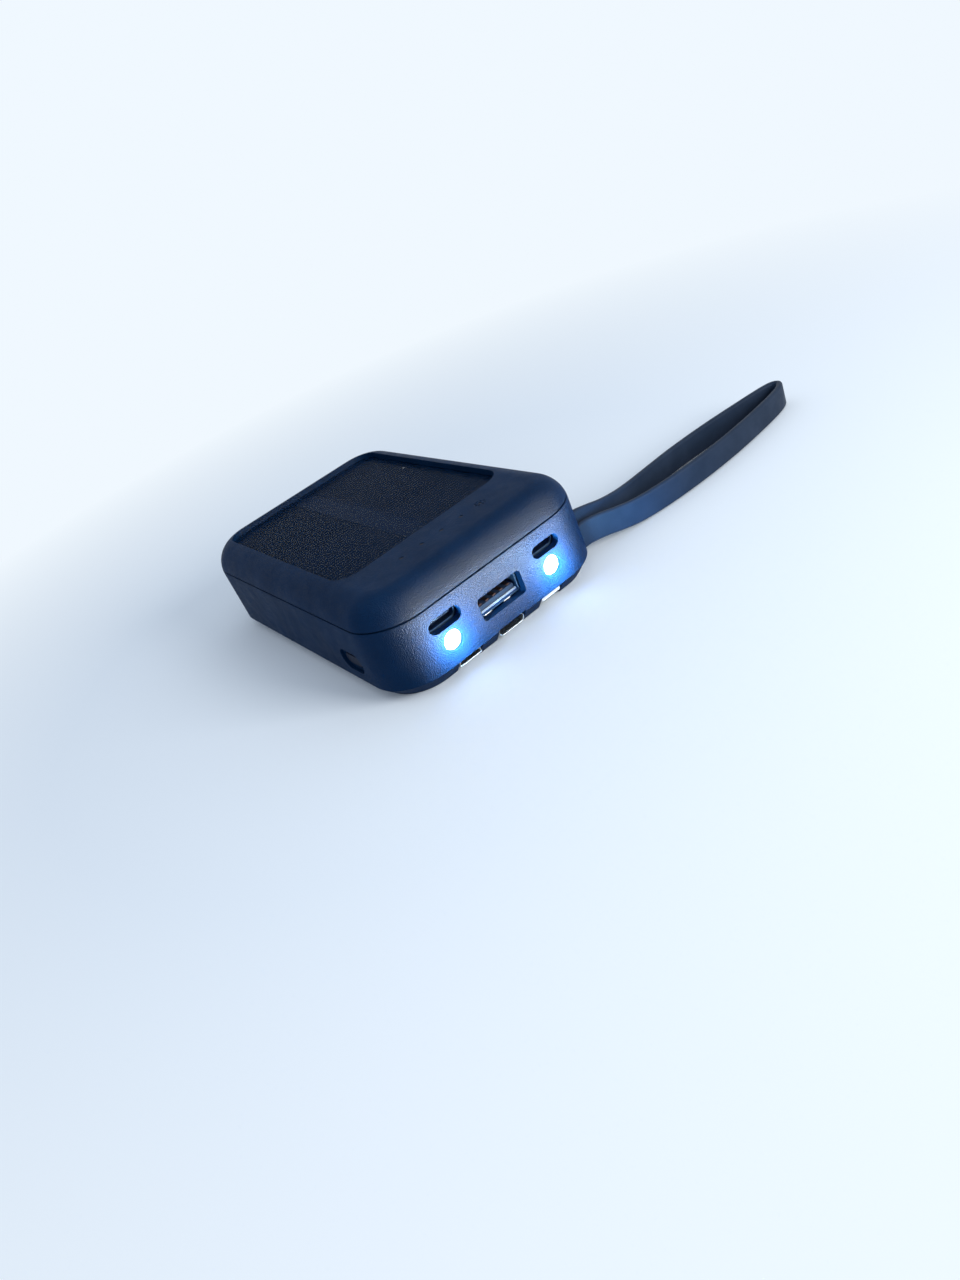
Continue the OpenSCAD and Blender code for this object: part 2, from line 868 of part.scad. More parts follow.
// Upright stretch and bend, held by the housing
module cable_root(x) {
    color("#1c2740") difference() {
        union() {
            translate([x, stow_y + bend_r, stow_top])
                linear_extrude(cable_top_z - stow_top) cable_outline();
            translate([x, stow_y, stow_top]) rotate([0, 90, 0])
                rotate_extrude(angle = 90)
                    translate([bend_r, 0]) rotate(90) cable_outline();
            // Rounded head and the tail through the wall
            translate([x, stow_y + bend_r, cable_top_z]) rotate([0, 90, 0])
                cylinder(r = cable_t / 2, h = cable_w - cable_t,
                         center = true);
            along_y(stow_y, stow_y + bend_r)
                translate([x, cable_top_z]) circle(root_r());
        }
        // Clearance for the round end of the swinging stretch, and for the
        // stretch itself as it hangs straight down
        translate([x, stow_y, cable_z]) rotate([0, 90, 0])
            cylinder(r = cable_t / 2 + pivot_gap, h = cable_w + 2,
                     center = true);
        block([x - cable_w, stow_y - 1, -1],
              [x + cable_w, stow_y + cable_t / 2 + pivot_gap, cable_z]);
    }
}

// Stretch along the underside, with a round end at the pivot
module cable_lead(x) {
    color("#1c2740") {
        translate([x, 0, cable_z]) along_y(lead_start_y, stow_y)
            cable_outline();
        translate([x, stow_y, cable_z]) rotate([0, 90, 0])
            cylinder(r = cable_t / 2, h = cable_w - cable_t, center = true);
    }
}

// Moulded grip with a narrower neck
module plug_grip(x) {
    neck_w = cable_w + 1.6;
    neck_t = cable_t + 0.2;
    color("#1c2740") translate([x, 0, cable_z]) {
        along_y(grip_y, neck_y) round_rect(grip_w, grip_t, 1.4);
        along_y(neck_y, lead_start_y)
            round_rect(neck_w, neck_t, neck_t / 2 - eps);
    }
}

module micro_cable_root() { cable_root(cable_x[0]); }
module micro_cable_lead() { cable_lead(cable_x[0]); }
module micro_plug_grip() { plug_grip(cable_x[0]); }

module micro_plug_outline(grow) {
    w = micro_plug[0] / 2 + grow;
    h = micro_plug[1] / 2 + grow;
    polygon([[-w + 0.6, h], [-w, h - 0.6], [-w, -h], [w, -h],
             [w, h - 0.6], [w - 0.6, h]]);
}

module micro_plug_shell() {
    color("silver") translate([cable_x[0], 0, cable_z])
        socket_tube(tip_y, plug_l) {
            micro_plug_outline(0);
            micro_plug_outline(-sheet_t);
        }
}

module micro_plug_core() {
    color("#202020") translate([cable_x[0], 0, cable_z])
        along_y(tip_y + 4, grip_y) micro_plug_outline(-sheet_t - 0.02);
}

module type_c_cable_root() { cable_root(cable_x[1]); }
module type_c_cable_lead() { cable_lead(cable_x[1]); }
module type_c_plug_grip() { plug_grip(cable_x[1]); }

module type_c_plug_outline(grow) {
    stadium(type_c_plug[0], type_c_plug[1], grow);
}

module type_c_plug_shell() {
    color("silver") translate([cable_x[1], 0, cable_z])
        socket_tube(tip_y, plug_l) {
            type_c_plug_outline(0);
            type_c_plug_outline(-sheet_t);
        }
}

module type_c_plug_core() {
    color("#202020") translate([cable_x[1], 0, cable_z])
        along_y(tip_y + 5, grip_y) type_c_plug_outline(-sheet_t - 0.02);
}

module blade_cable_root() { cable_root(cable_x[2]); }
module blade_cable_lead() { cable_lead(cable_x[2]); }
module blade_plug_grip() { plug_grip(cable_x[2]); }

module blade_plug_tab() {
    color("#e4e6e8") translate([cable_x[2], 0, cable_z])
        along_y(tip_y, grip_y)
            stadium(blade_plug[0], blade_plug[1], 0);
}

upper_shell();
lower_shell();
panel_adhesive();
panel_backboard();
solar_cells();
panel_cover();
solar_leads();
indicator_light_guide();
indicator_shroud();
indicator_leds();
circuit_board();
board_screws();
power_inductor();
controller_chips();
usb_a_shell();
usb_a_tongue();
usb_a_contacts();
type_c_socket_shell();
type_c_socket_tongue();
micro_socket_shell();
micro_socket_tongue();
torch_lamp_left();
torch_lamp_right();
torch_lamp_bases();
power_button();
button_switch();
battery_cell_lower();
battery_cell_upper();
battery_foam();
battery_leads();
lanyard_strap();
lanyard_anchor();
micro_cable_root();
micro_cable_lead();
micro_plug_grip();
micro_plug_shell();
micro_plug_core();
type_c_cable_root();
type_c_cable_lead();
type_c_plug_grip();
type_c_plug_shell();
type_c_plug_core();
blade_cable_root();
blade_cable_lead();
blade_plug_grip();
blade_plug_tab();
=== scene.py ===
"""Looks of a pocket solar power bank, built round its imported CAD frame. Metres throughout."""
import json
import math

import bpy
from mathutils import Matrix, Vector


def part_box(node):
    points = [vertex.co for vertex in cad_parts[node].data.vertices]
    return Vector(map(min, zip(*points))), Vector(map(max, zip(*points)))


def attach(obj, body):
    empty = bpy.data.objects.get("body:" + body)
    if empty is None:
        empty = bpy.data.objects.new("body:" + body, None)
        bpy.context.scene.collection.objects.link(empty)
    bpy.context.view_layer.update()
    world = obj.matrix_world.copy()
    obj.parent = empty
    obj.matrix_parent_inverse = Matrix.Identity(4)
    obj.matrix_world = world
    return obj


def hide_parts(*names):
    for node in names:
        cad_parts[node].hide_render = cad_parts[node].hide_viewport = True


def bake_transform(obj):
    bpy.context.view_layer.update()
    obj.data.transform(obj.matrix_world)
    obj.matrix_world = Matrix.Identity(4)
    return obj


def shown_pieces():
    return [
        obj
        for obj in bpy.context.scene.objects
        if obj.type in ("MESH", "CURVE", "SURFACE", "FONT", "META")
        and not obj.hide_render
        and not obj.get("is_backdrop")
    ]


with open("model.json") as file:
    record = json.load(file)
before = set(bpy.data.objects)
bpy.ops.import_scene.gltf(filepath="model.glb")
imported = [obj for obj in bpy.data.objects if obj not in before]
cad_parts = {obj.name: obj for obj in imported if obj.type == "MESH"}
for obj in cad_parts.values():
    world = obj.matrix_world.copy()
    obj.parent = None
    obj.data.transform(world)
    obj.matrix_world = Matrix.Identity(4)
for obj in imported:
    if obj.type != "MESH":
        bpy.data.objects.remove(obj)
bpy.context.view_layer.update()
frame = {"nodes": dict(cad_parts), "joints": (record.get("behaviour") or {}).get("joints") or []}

NODES = frame["nodes"]


# ---- Camera ----------------------------------------------------------------

def make_camera():
    """Looks down on the socket end from the button's side, rolled as a phone is held."""
    camera = bpy.data.cameras.new("camera")
    camera.lens = 26.44
    camera.sensor_width = 36
    camera.shift_x = 0.0148
    camera.shift_y = -0.0100
    camera.clip_start = 0.01
    camera.clip_end = 50
    seat = bpy.data.objects.new("camera", camera)
    bpy.context.scene.collection.objects.link(seat)
    forward = Vector((0.366, 0.797, -0.480)).normalized()
    up = Vector((0.563, 0.221, 0.796))
    right = forward.cross(up).normalized()
    up = right.cross(forward)
    seat.matrix_world = Matrix([
        [right.x, up.x, -forward.x, -0.0933],
        [right.y, up.y, -forward.y, -0.2269],
        [right.z, up.z, -forward.z, 0.1160],
        [0, 0, 0, 1],
    ])
    bpy.context.scene.camera = seat


make_camera()


# ---- Mesh helpers ----------------------------------------------------------

def new_mesh(name, points, faces, smooth=True):
    """A mesh object from its points and faces, linked to the scene."""
    mesh = bpy.data.meshes.new(name)
    mesh.from_pydata([tuple(p) for p in points], [], faces)
    mesh.validate()
    mesh.update()
    for polygon in mesh.polygons:
        polygon.use_smooth = smooth
    made = bpy.data.objects.new(name, mesh)
    bpy.context.scene.collection.objects.link(made)
    return made


def loft(name, rings, caps=True):
    """Skins closed rings of points that all have the same count."""
    count = len(rings[0])
    points = [p for ring in rings for p in ring]
    faces = []
    for i in range(len(rings) - 1):
        for k in range(count):
            step = (k + 1) % count
            faces.append((i * count + k, i * count + step,
                          (i + 1) * count + step, (i + 1) * count + k))
    if caps:
        faces.append(tuple(range(count - 1, -1, -1)))
        last = (len(rings) - 1) * count
        faces.append(tuple(last + k for k in range(count)))
    return new_mesh(name, points, faces)


def round_rect(width, height, radius, steps=6):
    """Points of a rectangle with round corners, centred, anticlockwise."""
    radius = min(radius, width / 2 - 1e-6, height / 2 - 1e-6)
    points = []
    for turn, (sx, sy) in enumerate([(1, 1), (-1, 1), (-1, -1), (1, -1)]):
        cx = sx * (width / 2 - radius)
        cy = sy * (height / 2 - radius)
        for k in range(steps + 1):
            a = math.pi / 2 * (turn + k / steps)
            points.append((cx + radius * math.cos(a), cy + radius * math.sin(a)))
    return points


def smooth_line(points, per_span):
    """A Catmull-Rom curve through the points."""
    line = []
    count = len(points)
    for i in range(count - 1):
        p0 = points[max(i - 1, 0)]
        p1, p2 = points[i], points[i + 1]
        p3 = points[min(i + 2, count - 1)]
        for k in range(per_span):
            t = k / per_span
            line.append((2 * p1 + (p2 - p0) * t + (2 * p0 - 5 * p1 + 4 * p2 - p3) * t * t
                         + (3 * p1 - p0 - 3 * p2 + p3) * t ** 3) / 2)
    line.append(points[-1])
    return line


# ---- Strap: a flat moulded loop, both ends in the slot ------------------------

STRAP_WIDTH = 0.0070
STRAP_THICK = 0.0018
STRAP_ROUTE = [
    (0.0302, -0.0455, 0.0067), (0.0340, -0.0455, 0.0067), (0.0390, -0.0459, 0.0059),
    (0.0440, -0.0466, 0.0048), (0.0500, -0.0475, 0.0038), (0.0580, -0.0487, 0.0035),
    (0.0670, -0.0496, 0.0035), (0.0770, -0.0499, 0.0035), (0.0870, -0.0496, 0.0035),
    (0.0970, -0.0487, 0.0035), (0.1060, -0.0475, 0.0035), (0.1120, -0.0463, 0.0035),
    (0.1153, -0.0450, 0.0035), (0.1169, -0.0434, 0.0035), (0.1164, -0.0418, 0.0035),
    (0.1143, -0.0408, 0.0035), (0.1100, -0.0400, 0.0035), (0.1020, -0.0390, 0.0035),
    (0.0930, -0.0380, 0.0035), (0.0840, -0.0374, 0.0035), (0.0750, -0.0372, 0.0035),
    (0.0660, -0.0379, 0.0037), (0.0580, -0.0391, 0.0042), (0.0510, -0.0404, 0.0051),
    (0.0445, -0.0416, 0.0065), (0.0390, -0.0425, 0.0082), (0.0340, -0.0431, 0.0095),
    (0.0302, -0.0431, 0.0095),
]


def make_strap():
    """Sweeps the strap's section, which stays upright, along its route."""
    line = smooth_line([Vector(p) for p in STRAP_ROUTE], per_span=8)
    outline = round_rect(STRAP_THICK, STRAP_WIDTH, 0.42 * STRAP_THICK, steps=5)
    rings = []
    for i, p in enumerate(line):
        ahead = line[min(i + 1, len(line) - 1)] - line[max(i - 1, 0)]
        side = Vector((ahead.y, -ahead.x, 0)).normalized()
        rings.append([p + side * u + Vector((0, 0, v)) for u, v in outline])
    strap = loft("strap", rings)
    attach(strap, "housing")
    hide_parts("lanyard_strap")
    return strap


strap = make_strap()


# ---- Built-in cables: one soft stretch each, then a grip and a plug ---------------

CABLES = ["micro", "type_c", "blade"]
HINGES = {j["child"]: Vector(j["pos_m"]) for j in frame["joints"] if "pos_m" in j}
ENTRY_BEND = 0.0016
STEP = 0.0008


def arc(centre, radius, start, end, steps):
    """Points of an arc in the YZ plane, angles in degrees from +Y towards +Z."""
    turns = [math.radians(start + (end - start) * k / steps) for k in range(steps + 1)]
    return [centre + Vector((0, radius * math.cos(a), radius * math.sin(a))) for a in turns]


def straight(a, b):
    count = max(1, round((b - a).length / STEP))
    return [a.lerp(b, k / count) for k in range(1, count)]


def make_cable(name):
    """The flat cable from the housing's far wall, round its bend, to the plug's neck."""
    hinge = HINGES[name + "_cable"]
    root_low, root_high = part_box(name + "_cable_root")
    lead_low, lead_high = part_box(name + "_cable_lead")
    thick = lead_high.z - lead_low.z
    wide = lead_high.x - lead_low.x
    upright_y = root_high.y - thick / 2
    bend = upright_y - hinge.y
    entry_z = root_high.z - thick / 2 - ENTRY_BEND
    inner = Vector((hinge.x, upright_y - ENTRY_BEND, entry_z))
    middle = Vector((hinge.x, hinge.y, hinge.z + bend))
    line = [inner + Vector((0, -0.0015, ENTRY_BEND))]
    line += arc(inner, ENTRY_BEND, 90, 0, 8)
    line += straight(line[-1], middle + Vector((0, bend, 0)))
    line += arc(middle, bend, 0, -90, 16)
    line += straight(line[-1], Vector((hinge.x, lead_low.y, hinge.z)))
    line.append(Vector((hinge.x, lead_low.y, hinge.z)))
    outline = round_rect(wide, thick, thick / 2, steps=6)
    rings = []
    for i, p in enumerate(line):
        ahead = (line[min(i + 1, len(line) - 1)] - line[max(i - 1, 0)]).normalized()
        out = Vector((1, 0, 0)).cross(ahead)
        rings.append([p + Vector((u, 0, 0)) + out * v for u, v in outline])
    cable = loft(name + "_cable", rings)
    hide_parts(name + "_cable_root", name + "_cable_lead")
    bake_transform(cable)
    return cable


NECK = 0.0040                 # length of the ribbed neck
NECK_WIDE, NECK_THICK = 0.0068, 0.0030
NECK_TAPER = 0.0006
RIBS, RIB_DEPTH = 4, 0.00022
EDGE = 0.0007                 # rounding of the grip's ends
GRIP_CORNER = 0.0014
GROOVE = 0.00022              # depth of the finger grooves
GROOVE_PITCH = 1 / 7          # as a share of the grip's length
GROOVED_HALF = 0.22


def along(x, z, y, outline):
    """An outline in X and Z, placed at y."""
    return [Vector((x + u, y, z + v)) for u, v in outline]


def make_grip(name):
    """Overmoulded grip with three finger grooves, and a ribbed neck behind it."""
    low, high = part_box(name + "_plug_grip")
    middle = (low + high) / 2
    wide, thick = high.x - low.x, high.z - low.z
    neck_y = high.y - NECK
    rings = []

    def ring(y, shrink_x, shrink_z, w=wide, t=thick, r=GRIP_CORNER):
        outline = round_rect(w - 2 * shrink_x, t - 2 * shrink_z, r, steps=6)
        rings.append(along(middle.x, middle.z, y, outline))

    for k in range(6):
        a = math.pi / 2 * k / 5
        inset = EDGE * (1 - math.sin(a))
        ring(low.y + EDGE * (1 - math.cos(a)), inset, inset)
    body = neck_y - low.y - 2 * EDGE
    for k in range(1, 56):
        share = k / 56
        off = share - 0.5
        dip = max(0.0, math.cos(off * 2 * math.pi / GROOVE_PITCH)) if abs(off) < GROOVED_HALF else 0.0
        ring(low.y + EDGE + body * share, 0, GROOVE * dip ** 2)
    for k in range(6):
        a = math.pi / 2 * k / 5
        inset = 2 * EDGE * (1 - math.cos(a))
        ring(neck_y - EDGE + EDGE * math.sin(a), inset, inset / 2)
    for k in range(41):
        share = k / 40
        rib = 0.5 - 0.5 * math.cos(share * 2 * math.pi * RIBS)
        inset = NECK_TAPER * share + RIB_DEPTH * rib
        ring(neck_y + NECK * share, inset, inset * 0.4, NECK_WIDE, NECK_THICK, NECK_THICK / 2)
    grip = loft(name + "_grip", rings)
    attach(grip, name + "_cable")
    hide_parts(name + "_plug_grip")
    return grip


def tube(name, x, z, y_front, y_back, outline, wall, lip):
    """A sheet tube along Y with a rounded front lip; outline(grow) gives its section."""
    rings = [along(x, z, y_back, outline(0)), along(x, z, y_front + lip, outline(0))]
    half = wall / 2
    for k in range(9):
        a = math.pi * k / 8
        rings.append(along(x, z, y_front + lip * (1 - math.sin(a)),
                           outline(-half + half * math.cos(a))))
    rings += [along(x, z, y_front + lip, outline(-wall)), along(x, z, y_back, outline(-wall))]
    return loft(name, rings, caps=False)


SHEET = 0.0003
TYPE_C_LIP, MICRO_LIP = 0.0004, 0.0003
MICRO_CHAMFER = 0.0006
BLADE_PADS, BLADE_PITCH = 6, 0.0008


def make_type_c_plug():
    """Round-ended shell, hollow, with a rolled lip."""
    low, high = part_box("type_c_plug_shell")
    middle = (low + high) / 2
    wide, thick = high.x - low.x, high.z - low.z
    plug = tube("type_c_plug", middle.x, middle.z, low.y, high.y,
                lambda grow: round_rect(wide + 2 * grow, thick + 2 * grow, 1, steps=10),
                SHEET, TYPE_C_LIP)
    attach(plug, "type_c_cable")
    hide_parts("type_c_plug_shell")
    return plug


def make_micro_plug():
    """Shell with two chamfered upper corners."""
    low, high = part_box("micro_plug_shell")
    middle = (low + high) / 2

    def outline(grow):
        w, h = (high.x - low.x) / 2 + grow, (high.z - low.z) / 2 + grow
        cut_w, cut_h = w - MICRO_CHAMFER, h - MICRO_CHAMFER
        return [(w, -h), (w, cut_h), (cut_w, h), (-cut_w, h), (-w, cut_h), (-w, -h)]

    plug = tube("micro_plug", middle.x, middle.z, low.y, high.y, outline, SHEET, MICRO_LIP)
    for polygon in plug.data.polygons:
        polygon.use_smooth = False
    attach(plug, "micro_cable")
    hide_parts("micro_plug_shell")
    return plug


def rounded_box(name, low, high, radius, steps=3):
    """A box whose edges are all rounded, from its lowest corner to its highest."""
    low, high = Vector(low), Vector(high)
    middle = (low + high) / 2
    size = high - low
    rings = []
    for end in (0, 1):
        for k in range(steps + 1):
            a = math.pi / 2 * (k if end == 0 else steps - k) / steps
            inset = radius * (1 - math.sin(a))
            depth = radius * (1 - math.cos(a))
            y = low.y + depth if end == 0 else high.y - depth
            rings.append(along(middle.x, middle.z, y,
                               round_rect(size.x - 2 * inset, size.z - 2 * inset, radius, steps)))
    return loft(name, rings)


def make_blade_plug():
    """Plain white blade with a full-round edge and a row of contacts on each face."""
    low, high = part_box("blade_plug_tab")
    middle = (low + high) / 2
    wide, thick = high.x - low.x, high.z - low.z
    rings = []
    for k in range(7):
        a = math.pi / 2 * k / 6
        inset = thick / 2 * 0.8 * (1 - math.sin(a))
        outline = round_rect(wide - 2 * inset, thick - 2 * inset, 1, steps=8)
        rings.append(along(middle.x, middle.z, low.y + thick / 2 * (1 - math.cos(a)), outline))
    rings.append(along(middle.x, middle.z, high.y, round_rect(wide, thick, 1, steps=8)))
    plug = loft("blade_plug", rings)
    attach(plug, "blade_cable")
    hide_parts("blade_plug_tab")
    pads = []
    for side in (-1, 1):
        face = "lower" if side < 0 else "upper"
        z = middle.z + side * thick / 2
        for k in range(BLADE_PADS):
            x = middle.x + (k - (BLADE_PADS - 1) / 2) * BLADE_PITCH
            pad = rounded_box(f"blade_contact_{face}_{k + 1}",
                              (x - 0.00026, low.y + 0.0016, z - 0.00004),
                              (x + 0.00026, low.y + 0.0034, z + 0.00004), 0.00004)
            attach(pad, "blade_cable")
            pads.append(pad)
    return plug, pads


cables = [make_cable(name) for name in CABLES]
grips = [make_grip(name) for name in CABLES]
micro_plug = make_micro_plug()
type_c_plug = make_type_c_plug()
blade_plug, blade_contacts = make_blade_plug()


# ---- Solar panel: printed fingers on the cells and a solder dot ---------------------

FINGER_PITCH = 0.00150
FINGER_WIDTH = 0.00012
FINGER_HEIGHT = 0.00002
FINGER_MARGIN = 0.0006
CELL_GAP = 0.0070
CELL_CORNER = 0.0046
BOX_FACES = [(3, 2, 1, 0), (4, 5, 6, 7), (0, 1, 5, 4), (1, 2, 6, 5), (2, 3, 7, 6), (3, 0, 4, 7)]


def make_fingers():
    """Fine printed lines across the two cell groups, either side of a plain band."""
    low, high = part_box("solar_cells")
    points, faces = [], []

    def bar(x0, x1, y):
        first = len(points)
        half = FINGER_WIDTH / 2
        for z in (high.z - FINGER_HEIGHT, high.z + FINGER_HEIGHT):
            points.extend([(x0, y - half, z), (x1, y - half, z),
                           (x1, y + half, z), (x0, y + half, z)])
        for quad in BOX_FACES:
            faces.append(tuple(first + k for k in quad))

    count = int((high.y - low.y - 2 * FINGER_MARGIN) / FINGER_PITCH)
    start = (low.y + high.y) / 2 - count * FINGER_PITCH / 2
    inner = CELL_GAP / 2 + FINGER_MARGIN
    for k in range(count + 1):
        y = start + k * FINGER_PITCH
        near_end = max(0.0, CELL_CORNER - (y - low.y), CELL_CORNER - (high.y - y))
        inset = FINGER_MARGIN + CELL_CORNER - math.sqrt(max(0.0, CELL_CORNER ** 2 - near_end ** 2))
        bar(low.x + inset, -inner, y)
        bar(inner, high.x - inset, y)
    fingers = new_mesh("cell_fingers", points, faces, smooth=False)
    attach(fingers, "housing")
    return fingers


fingers = make_fingers()


SOLDER_PLACE = (0.0242, 0.0185)
SOLDER_RADIUS, SOLDER_HEIGHT = 0.00042, 0.00008
SOLDER_SUNK = 0.00002


def make_solder_dot():
    """A low dot of solder near the right edge of the cells."""
    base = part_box("solar_cells")[1].z - SOLDER_SUNK
    x, y = SOLDER_PLACE
    turns = [math.pi * n / 12 for n in range(24)]
    rings = []
    for k in range(6):
        a = math.pi / 2 * k / 5
        r = SOLDER_RADIUS * math.cos(a) + SOLDER_SUNK
        z = base + SOLDER_HEIGHT * math.sin(a)
        rings.append([Vector((x + r * math.cos(t), y + r * math.sin(t), z)) for t in turns])
    dot = loft("solder_dot", rings)
    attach(dot, "housing")
    return dot


solder_dot = make_solder_dot()


# ---- Large socket: spring tabs and coloured liner ----------------------------------

USB_WALL = 0.00032            # the shell's sheet and a hair's gap
SPRING_SHARES = (0.20, 0.68)  # across the shell's width
SPRING_HALF, SPRING_DEEP = 0.0012, 0.0042


def make_usb_details():
    """Two spring tabs under the tongue, a coloured liner, and a pale strip on the tongue's front edge
    that is a painted highlight for its lit face.
    """
    shell_low, shell_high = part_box("usb_a_shell")
    tongue_low, tongue_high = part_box("usb_a_tongue")
    front = shell_low.y + 0.0002
    springs = []
    for k, share in enumerate(SPRING_SHARES):
        x = shell_low.x + (shell_high.x - shell_low.x) * share
        spring = rounded_box(f"usb_a_spring_{k + 1}",
                             (x - SPRING_HALF, front, tongue_low.z - 0.0009),
                             (x + SPRING_HALF, front + SPRING_DEEP, tongue_low.z - 0.0004), 0.00012)
        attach(spring, "housing")
        springs.append(spring)
    liner = rounded_box("usb_a_liner",
                        (shell_low.x + USB_WALL, front + 0.0004, shell_low.z + USB_WALL),
                        (shell_high.x - USB_WALL, shell_high.y - 0.0026, shell_low.z + 0.00045),
                        0.00005)
    # The pale strip on the tongue's front edge is a painted highlight: the lit face of the dark
    # tongue.
    edge = rounded_box("usb_a_tongue_highlight",
                       (tongue_low.x + 0.0002, tongue_low.y - 0.00008, tongue_low.z + 0.0001),
                       (tongue_high.x - 0.0002, tongue_low.y + 0.0004, tongue_low.z + 0.0007),
                       0.00012)
    for piece in (liner, edge):
        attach(piece, "housing")
    return springs, liner, edge


usb_springs, usb_liner, usb_tongue_highlight = make_usb_details()


# ---- Materials ---------------------------------------------------------------

class Surface:
    """A Principled material and short calls that add procedural detail to it."""

    def __init__(self, name, color, roughness, metallic=0.0, specular=0.5, alpha=1.0):
        self.material = bpy.data.materials.new(name)
        self.material.use_nodes = True
        self.tree = self.material.node_tree
        self.shader = self.tree.nodes["Principled BSDF"]
        self.set("Base Color", (*color, 1))
        self.set("Roughness", roughness)
        self.set("Metallic", metallic)
        self.set("Specular IOR Level", specular)
        self.set("Alpha", alpha)
        self.coords = self.node("ShaderNodeTexCoord").outputs["Object"]
        self.height = None

    def set(self, socket, value):
        self.shader.inputs[socket].default_value = value

    def node(self, kind, **values):
        made = self.tree.nodes.new(kind)
        for key, value in values.items():
            setattr(made, key, value)
        return made

    def link(self, out, into):
        self.tree.links.new(out, into)

    def soften_edges(self, radius):
        """Rounds every edge's shading by a radius, as a mould does."""
        bevel = self.node("ShaderNodeBevel", samples=4)
        bevel.inputs["Radius"].default_value = radius
        self.height = bevel.outputs["Normal"]

    def noise(self, scale, detail=2.0, stretch=(1, 1, 1), roughness=0.5):
        """Fractal noise, scale in cells to the metre."""
        mapping = self.node("ShaderNodeMapping")
        mapping.inputs["Scale"].default_value = stretch
        self.link(self.coords, mapping.inputs["Vector"])
        noise = self.node("ShaderNodeTexNoise")
        noise.inputs["Scale"].default_value = scale
        noise.inputs["Detail"].default_value = detail
        noise.inputs["Roughness"].default_value = roughness
        self.link(mapping.outputs["Vector"], noise.inputs["Vector"])
        return noise.outputs["Fac"]

    def grains(self, scale):
        """Rounded cells, as in spark-eroded plastic."""
        cells = self.node("ShaderNodeTexVoronoi", feature="SMOOTH_F1")
        cells.inputs["Scale"].default_value = scale
        cells.inputs["Smoothness"].default_value = 0.6
        self.link(self.coords, cells.inputs["Vector"])
        return cells.outputs["Distance"]

    def spread(self, factor, low, high, start=0.3, end=0.7):
        """Maps a factor from start..end to low..high."""
        ranged = self.node("ShaderNodeMapRange")
        for socket, value in [("From Min", start), ("From Max", end),
                              ("To Min", low), ("To Max", high)]:
            ranged.inputs[socket].default_value = value
        self.link(factor, ranged.inputs["Value"])
        return ranged.outputs["Result"]

    def tint(self, factor, colors, stops=(0.35, 0.65)):
        """Colours the surface between the given colours by a factor."""
        ramp = self.node("ShaderNodeValToRGB")
        ramp.color_ramp.elements[0].position = stops[0]
        ramp.color_ramp.elements[1].position = stops[-1]
        ramp.color_ramp.elements[0].color = (*colors[0], 1)
        ramp.color_ramp.elements[1].color = (*colors[-1], 1)
        self.link(factor, ramp.inputs["Fac"])
        self.link(ramp.outputs["Color"], self.shader.inputs["Base Color"])

    def rough(self, factor, low, high):
        self.link(self.spread(factor, low, high), self.shader.inputs["Roughness"])

    def bump(self, factor, strength, depth):
        """Raises the surface by a factor, depth in metres. Bumps stack."""
        bump = self.node("ShaderNodeBump")
        bump.inputs["Strength"].default_value = strength
        bump.inputs["Distance"].default_value = depth
        self.link(factor, bump.inputs["Height"])
        if self.height is not None:
            self.link(self.height, bump.inputs["Normal"])
        self.height = bump.outputs["Normal"]
        self.link(self.height, self.shader.inputs["Normal"])


def moulded(name, dark, light, roughness, grain_scale, grain_depth):
    """Injection-moulded plastic with a fine spark-eroded grain."""
    s = Surface(name, dark, roughness, specular=0.02)
    s.tint(s.noise(90, 4), (dark, light))
    s.rough(s.noise(260, 3), roughness - 0.05, roughness + 0.06)
    s.soften_edges(0.00025)
    s.bump(s.grains(grain_scale), 0.6, grain_depth)
    s.bump(s.noise(grain_scale * 2.1, 2), 0.5, grain_depth * 0.6)
    return s


def rubber(name, dark, light, roughness):
    """Soft elastomer: low sheen, faint mottling and dust."""
    s = Surface(name, dark, roughness, specular=0.08)
    s.tint(s.noise(140, 5), (dark, light))
    s.rough(s.noise(420, 3), roughness - 0.06, roughness + 0.08)
    s.bump(s.noise(5200, 3), 0.35, 0.00003)
    s.set("Sheen Weight", 0.04)
    s.set("Sheen Roughness", 0.45)
    return s


def metal(name, color, roughness, stretch, scratch_scale=2500):
    """Plated or rolled metal with fine lines along one direction."""
    s = Surface(name, color, roughness, metallic=1.0)
    s.tint(s.noise(400, 3), (tuple(c * 0.86 for c in color), color))
    s.rough(s.noise(scratch_scale, 2, stretch), roughness - 0.07, roughness + 0.1)
    s.bump(s.noise(scratch_scale, 2, stretch), 0.2, 0.00001)
    return s


def solid(name, color, roughness, specular=0.5, variation=0.8, scale=900):
    """A plain technical plastic, laminate or ceramic with slight mottling."""
    s = Surface(name, color, roughness, specular=specular)
    s.tint(s.noise(scale, 4), (tuple(c * variation for c in color), color))
    s.rough(s.noise(scale * 1.7, 2), roughness - 0.04, roughness + 0.06)
    s.bump(s.noise(scale * 4, 2), 0.2, 0.00002)
    return s


def glowing(name, color, strength):
    """A lit lamp: emission strength that varies a little at random across it."""
    s = Surface(name, (0.9, 0.94, 1.0), 0.15)
    s.set("Emission Color", (*color, 1))
    s.rough(s.noise(800, 2), 0.1, 0.2)
    s.link(s.spread(s.noise(300, 2), strength * 0.9, strength), s.shader.inputs["Emission Strength"])
    return s


NAVY_DARK = (0.0018, 0.0150, 0.048)
NAVY_LIGHT = (0.0030, 0.0195, 0.060)

